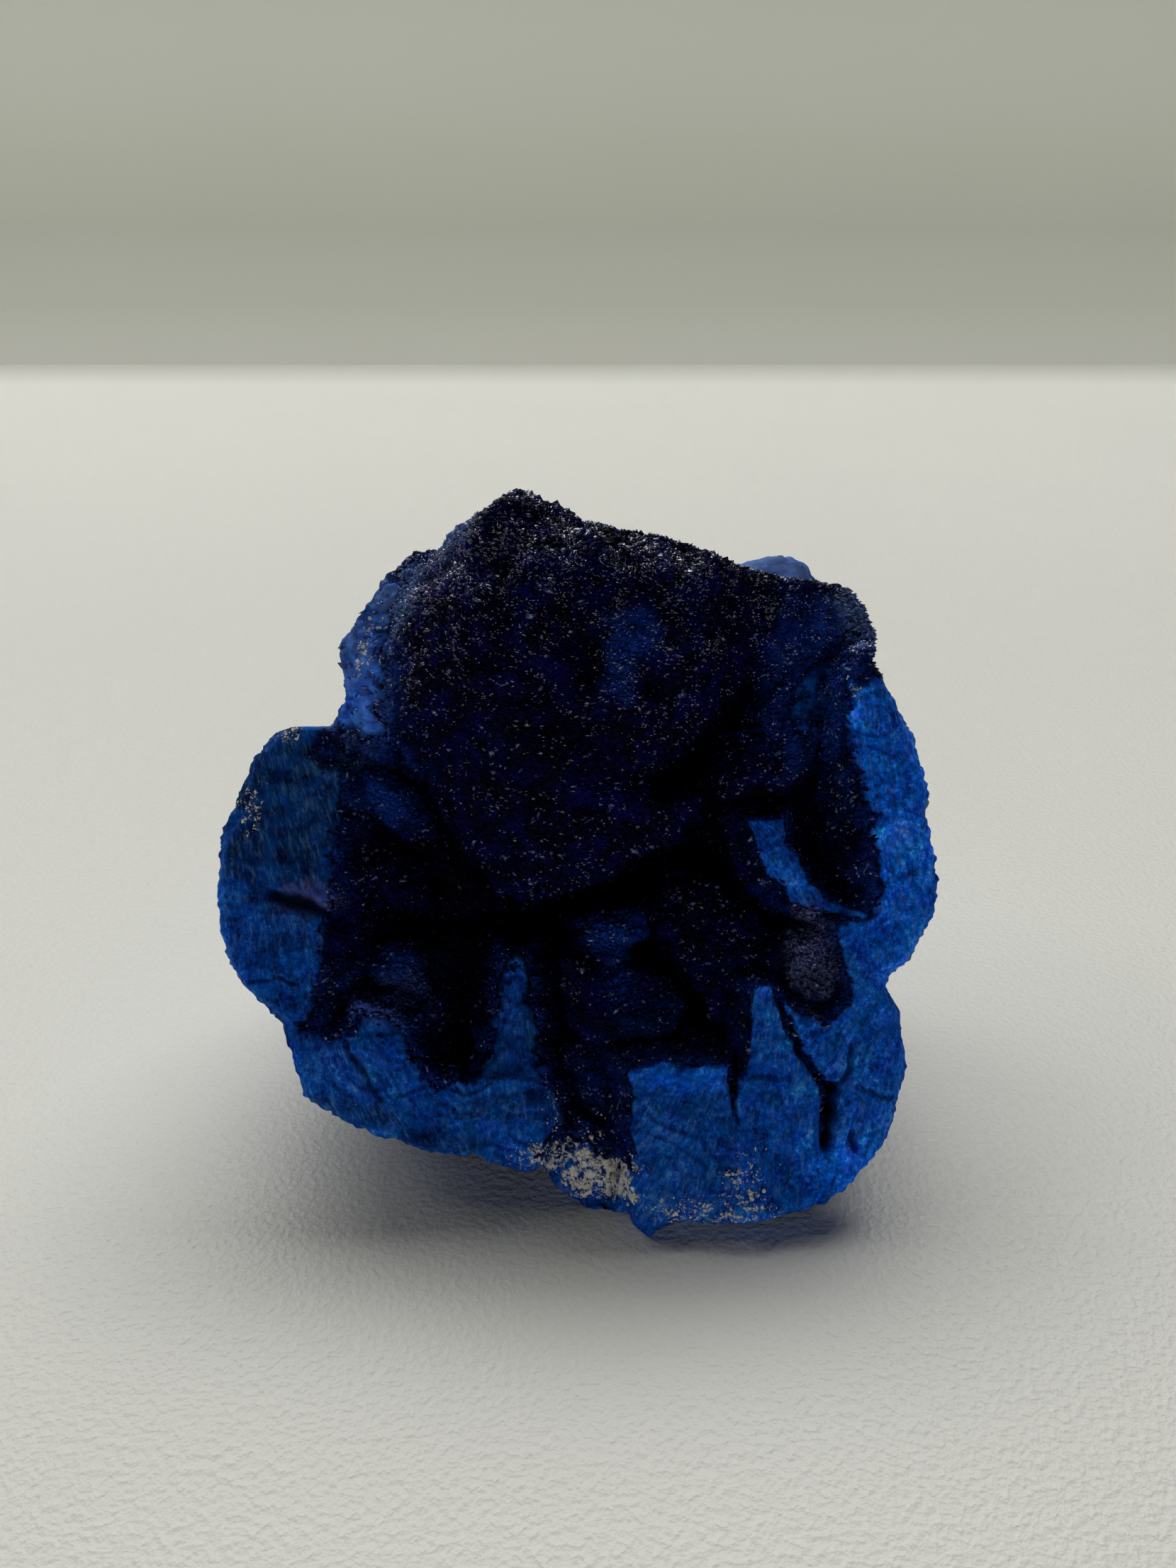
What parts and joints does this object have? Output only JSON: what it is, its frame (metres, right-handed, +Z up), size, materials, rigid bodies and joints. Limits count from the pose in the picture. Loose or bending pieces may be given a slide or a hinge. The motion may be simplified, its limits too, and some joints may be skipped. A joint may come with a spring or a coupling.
{
  "type": "azurite specimen",
  "caption": "Broken-open azurite nodule with a bright blue granular wall and a dark sparkling crystal crust in its hollow, leaning back on its weathered underside",
  "frame": {"origin": "the middle of the bottom of the bounding box, on the surface that the specimen rests on", "axes": "+Z up, -Y the way the broken face looks, +X to the right of the broken face"},
  "size_m": [0.043, 0.036, 0.0374],
  "materials": {
    "wall": "granular broken azurite, matt, with a dark weathered skin and pale clay remnants",
    "crust": "fine drusy azurite crystals, dark navy with small glassy glints"
  },
  "bodies": {
    "root": {"azurite_wall": "wall", "crystal_crust": "crust"}
  },
  "joints": []
}
